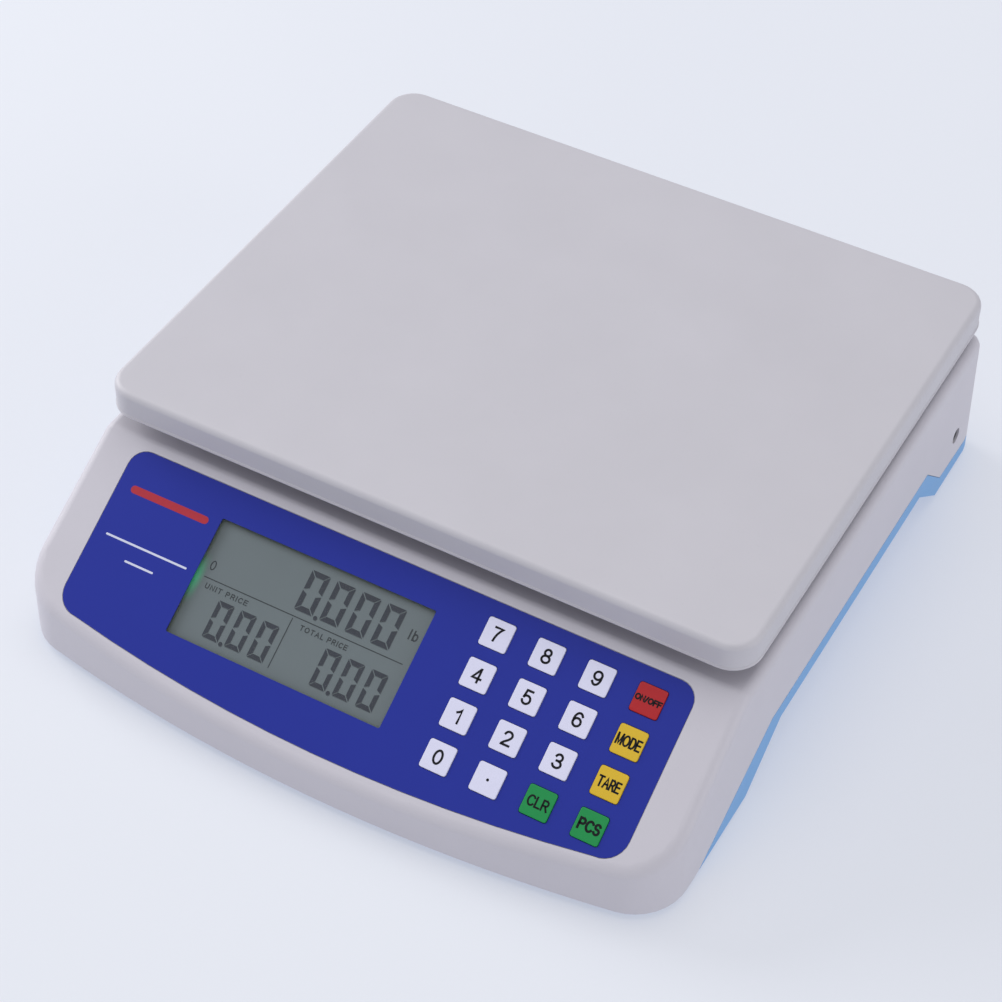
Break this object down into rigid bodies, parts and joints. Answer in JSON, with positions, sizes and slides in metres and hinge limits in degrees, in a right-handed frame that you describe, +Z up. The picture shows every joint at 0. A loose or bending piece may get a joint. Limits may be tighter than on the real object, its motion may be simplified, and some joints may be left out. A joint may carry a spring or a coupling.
{
  "type": "counting scale",
  "caption": "Bench scale with a removable tray platter over a load cell, a sloping front panel with display and square keys, and a two-part plastic casing on feet.",
  "frame": {"origin": "on the table, under the middle of the casing", "axes": "+X to the user's right, +Y to the back of the scale, +Z up; the control panel faces -Y"},
  "size_m": [0.3072, 0.33, 0.0921],
  "materials": {
    "casing_grey": "fine matt moulded",
    "casing_blue": "fine matt moulded",
    "platter_grey": "fine matt moulded",
    "overlay_blue": "satin printed film",
    "lens": "clear acrylic",
    "display": "reflective display",
    "light_guide": "diffuser",
    "board": "solder mask",
    "silicone": "matt silicone",
    "battery_black": "matt",
    "jack_black": "satin",
    "aluminium": "machined",
    "cast_alloy": "as cast",
    "plate_steel": "zinc plated",
    "bolt_steel": "zinc plated",
    "screw_steel": "dark zinc",
    "cable_grey": "vinyl sheath",
    "pad_rubber": "matt",
    "foot_rubber": "matt",
    "key_white": "satin",
    "key_red": "satin",
    "key_yellow": "satin",
    "key_green": "satin"
  },
  "bodies": {
    "casing": {"upper_casing": "casing_grey", "lower_casing": "casing_blue", "battery_cover": "casing_blue", "panel_overlay": "overlay_blue", "display_lens": "lens", "display_glass": "display", "display_backlight": "light_guide", "main_board": "board", "switch_mat": "silicone", "battery": "battery_black", "power_jack": "jack_black", "load_cell": "aluminium", "cell_spacer": "aluminium", "mounting_plate": "plate_steel", "load_cell_cable": "cable_grey", "overload_stop": "bolt_steel", "battery_cover_screw": "screw_steel", "board_screw_1": "screw_steel", "board_screw_2": "screw_steel", "board_screw_3": "screw_steel", "board_screw_4": "screw_steel", "casing_screw_1": "screw_steel", "casing_screw_2": "screw_steel", "casing_screw_3": "screw_steel", "casing_screw_4": "screw_steel", "casing_screw_5": "screw_steel", "casing_screw_6": "screw_steel", "plate_screw_1": "screw_steel", "plate_screw_2": "screw_steel", "plate_screw_3": "screw_steel", "cell_fix_bolt_1": "bolt_steel", "cell_fix_bolt_2": "bolt_steel"},
    "platform": {"platform_spider": "cast_alloy", "platter_pad_1": "pad_rubber", "platter_pad_2": "pad_rubber", "platter_pad_3": "pad_rubber", "platter_pad_4": "pad_rubber", "cell_free_bolt_1": "bolt_steel", "cell_free_bolt_2": "bolt_steel"},
    "platter_body": {"platter": "platter_grey"},
    "key_7_body": {"key_7": "key_white"},
    "key_8_body": {"key_8": "key_white"},
    "key_9_body": {"key_9": "key_white"},
    "key_power_body": {"key_power": "key_red"},
    "key_4_body": {"key_4": "key_white"},
    "key_5_body": {"key_5": "key_white"},
    "key_6_body": {"key_6": "key_white"},
    "key_mode_body": {"key_mode": "key_yellow"},
    "key_1_body": {"key_1": "key_white"},
    "key_2_body": {"key_2": "key_white"},
    "key_3_body": {"key_3": "key_white"},
    "key_tare_body": {"key_tare": "key_yellow"},
    "key_0_body": {"key_0": "key_white"},
    "key_point_body": {"key_point": "key_white"},
    "key_clear_body": {"key_clear": "key_green"},
    "key_count_body": {"key_count": "key_green"},
    "foot_1_body": {"foot_1": "foot_rubber"},
    "foot_2_body": {"foot_2": "foot_rubber"},
    "foot_3_body": {"foot_3": "foot_rubber"},
    "foot_4_body": {"foot_4": "foot_rubber"}
  },
  "joints": [
    {"name": "platform_deflection", "type": "slide", "parent": "casing", "child": "platform", "axis": [0, 0, 1], "range_m": [-0.00025, 0], "stiffness_N_per_m": 400000, "springref_m": 0.00003},
    {"name": "platter_lift", "type": "slide", "parent": "platform", "child": "platter_body", "axis": [0, 0, 1], "range_m": [0, 0.06]},
    {"name": "key_7_press", "type": "slide", "parent": "casing", "child": "key_7_body", "axis": [0, 0.5, -0.866], "range_m": [0, 0.0005], "stiffness_N_per_m": 1500, "springref_m": -0.0003},
    {"name": "key_8_press", "type": "slide", "parent": "casing", "child": "key_8_body", "axis": [0, 0.5, -0.866], "range_m": [0, 0.0005], "stiffness_N_per_m": 1500, "springref_m": -0.0003},
    {"name": "key_9_press", "type": "slide", "parent": "casing", "child": "key_9_body", "axis": [0, 0.5, -0.866], "range_m": [0, 0.0005], "stiffness_N_per_m": 1500, "springref_m": -0.0003},
    {"name": "key_power_press", "type": "slide", "parent": "casing", "child": "key_power_body", "axis": [0, 0.5, -0.866], "range_m": [0, 0.0005], "stiffness_N_per_m": 1500, "springref_m": -0.0003},
    {"name": "key_4_press", "type": "slide", "parent": "casing", "child": "key_4_body", "axis": [0, 0.5, -0.866], "range_m": [0, 0.0005], "stiffness_N_per_m": 1500, "springref_m": -0.0003},
    {"name": "key_5_press", "type": "slide", "parent": "casing", "child": "key_5_body", "axis": [0, 0.5, -0.866], "range_m": [0, 0.0005], "stiffness_N_per_m": 1500, "springref_m": -0.0003},
    {"name": "key_6_press", "type": "slide", "parent": "casing", "child": "key_6_body", "axis": [0, 0.5, -0.866], "range_m": [0, 0.0005], "stiffness_N_per_m": 1500, "springref_m": -0.0003},
    {"name": "key_mode_press", "type": "slide", "parent": "casing", "child": "key_mode_body", "axis": [0, 0.5, -0.866], "range_m": [0, 0.0005], "stiffness_N_per_m": 1500, "springref_m": -0.0003},
    {"name": "key_1_press", "type": "slide", "parent": "casing", "child": "key_1_body", "axis": [0, 0.5, -0.866], "range_m": [0, 0.0005], "stiffness_N_per_m": 1500, "springref_m": -0.0003},
    {"name": "key_2_press", "type": "slide", "parent": "casing", "child": "key_2_body", "axis": [0, 0.5, -0.866], "range_m": [0, 0.0005], "stiffness_N_per_m": 1500, "springref_m": -0.0003},
    {"name": "key_3_press", "type": "slide", "parent": "casing", "child": "key_3_body", "axis": [0, 0.5, -0.866], "range_m": [0, 0.0005], "stiffness_N_per_m": 1500, "springref_m": -0.0003},
    {"name": "key_tare_press", "type": "slide", "parent": "casing", "child": "key_tare_body", "axis": [0, 0.5, -0.866], "range_m": [0, 0.0005], "stiffness_N_per_m": 1500, "springref_m": -0.0003},
    {"name": "key_0_press", "type": "slide", "parent": "casing", "child": "key_0_body", "axis": [0, 0.5, -0.866], "range_m": [0, 0.0005], "stiffness_N_per_m": 1500, "springref_m": -0.0003},
    {"name": "key_point_press", "type": "slide", "parent": "casing", "child": "key_point_body", "axis": [0, 0.5, -0.866], "range_m": [0, 0.0005], "stiffness_N_per_m": 1500, "springref_m": -0.0003},
    {"name": "key_clear_press", "type": "slide", "parent": "casing", "child": "key_clear_body", "axis": [0, 0.5, -0.866], "range_m": [0, 0.0005], "stiffness_N_per_m": 1500, "springref_m": -0.0003},
    {"name": "key_count_press", "type": "slide", "parent": "casing", "child": "key_count_body", "axis": [0, 0.5, -0.866], "range_m": [0, 0.0005], "stiffness_N_per_m": 1500, "springref_m": -0.0003},
    {"name": "foot_1_screw", "type": "slide", "parent": "casing", "child": "foot_1_body", "axis": [0, 0, 1], "range_m": [0, 0.003]},
    {"name": "foot_2_screw", "type": "slide", "parent": "casing", "child": "foot_2_body", "axis": [0, 0, 1], "range_m": [0, 0.003]},
    {"name": "foot_3_screw", "type": "slide", "parent": "casing", "child": "foot_3_body", "axis": [0, 0, 1], "range_m": [0, 0.003]},
    {"name": "foot_4_screw", "type": "slide", "parent": "casing", "child": "foot_4_body", "axis": [0, 0, 1], "range_m": [0, 0.003]}
  ]
}
